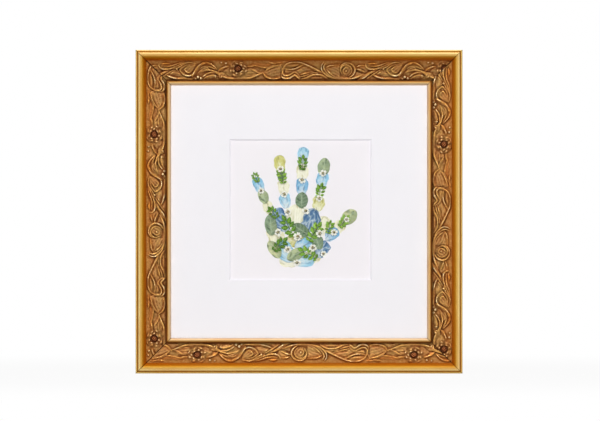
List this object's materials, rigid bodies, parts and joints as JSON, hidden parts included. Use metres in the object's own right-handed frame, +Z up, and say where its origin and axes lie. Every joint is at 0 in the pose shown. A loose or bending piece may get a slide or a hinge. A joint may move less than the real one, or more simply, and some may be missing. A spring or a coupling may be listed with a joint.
{
  "type": "picture frame",
  "caption": "Square gilt picture frame with a pressed vine ornament on its mitred moulding, a bevelled white window mat and a baby handprint behind glass.",
  "frame": {"origin": "centre of the flat underside of the lower rail, which the frame stands on", "axes": "+X to the right as seen from the front, +Y to the back, +Z up; the picture faces -Y"},
  "size_m": [0.2472, 0.0254, 0.2448],
  "materials": {
    "gilt_moulding": "antique gold leaf over wood",
    "gilt_ornament": "antique gold over pressed composition",
    "nail_steel": "plain steel",
    "glass": "clear picture glass",
    "white_board": "white paper board",
    "grey_board": "grey recycled board",
    "brown_board": "hardboard",
    "cream_petal": "pressed, matt",
    "blue_petal": "pressed, matt",
    "sage_leaf": "pressed, matt",
    "green_leaf": "pressed, matt",
    "white_blossom": "pressed, matt",
    "blossom_centre": "pressed, matt",
    "plated_steel": "yellow zinc plated",
    "ring_nickel": "nickel plated",
    "bumper_felt": "soft dark rubber"
  },
  "bodies": {
    "frame": {"rail_bottom": "gilt_moulding", "rail_left": "gilt_moulding", "rail_top": "gilt_moulding", "rail_right": "gilt_moulding", "ornament_bottom": "gilt_ornament", "ornament_left": "gilt_ornament", "ornament_top": "gilt_ornament", "ornament_right": "gilt_ornament", "corner_v_nails": "nail_steel", "glass_pane": "glass", "window_mat": "white_board", "art_board": "white_board", "filler_board": "grey_board", "back_panel": "brown_board", "pressed_cream_petals": "cream_petal", "pressed_blue_petals": "blue_petal", "pressed_sage_leaves": "sage_leaf", "pressed_green_leaves": "green_leaf", "pressed_blossoms": "white_blossom", "blossom_centres": "blossom_centre", "turn_button_screws": "plated_steel", "hanger_strap_left": "plated_steel", "hanger_strap_right": "plated_steel", "hanger_screws": "plated_steel", "wall_bumpers": "bumper_felt"},
    "button_bottom": {"turn_button_bottom": "plated_steel"},
    "button_left": {"turn_button_left": "plated_steel"},
    "button_top": {"turn_button_top": "plated_steel"},
    "button_right": {"turn_button_right": "plated_steel"},
    "ring_left": {"d_ring_left": "ring_nickel"},
    "ring_right": {"d_ring_right": "ring_nickel"}
  },
  "joints": [
    {"name": "button_bottom_swivel", "type": "hinge", "parent": "frame", "child": "button_bottom", "pos_m": [0, 0.0099, 0.0124], "axis": [0, 1, 0], "continuous": true},
    {"name": "button_left_swivel", "type": "hinge", "parent": "frame", "child": "button_left", "pos_m": [-0.11125, 0.0099, 0.1224], "axis": [0, 1, 0], "continuous": true},
    {"name": "button_top_swivel", "type": "hinge", "parent": "frame", "child": "button_top", "pos_m": [0, 0.0099, 0.2324], "axis": [0, 1, 0], "continuous": true},
    {"name": "button_right_swivel", "type": "hinge", "parent": "frame", "child": "button_right", "pos_m": [0.11125, 0.0099, 0.1224], "axis": [0, 1, 0], "continuous": true},
    {"name": "ring_left_swing", "type": "hinge", "parent": "frame", "child": "ring_left", "pos_m": [-0.11345, 0.01089, 0.176], "axis": [1, 0, 0], "range_deg": [0, 180]},
    {"name": "ring_right_swing", "type": "hinge", "parent": "frame", "child": "ring_right", "pos_m": [0.11345, 0.01089, 0.176], "axis": [1, 0, 0], "range_deg": [0, 180]}
  ]
}
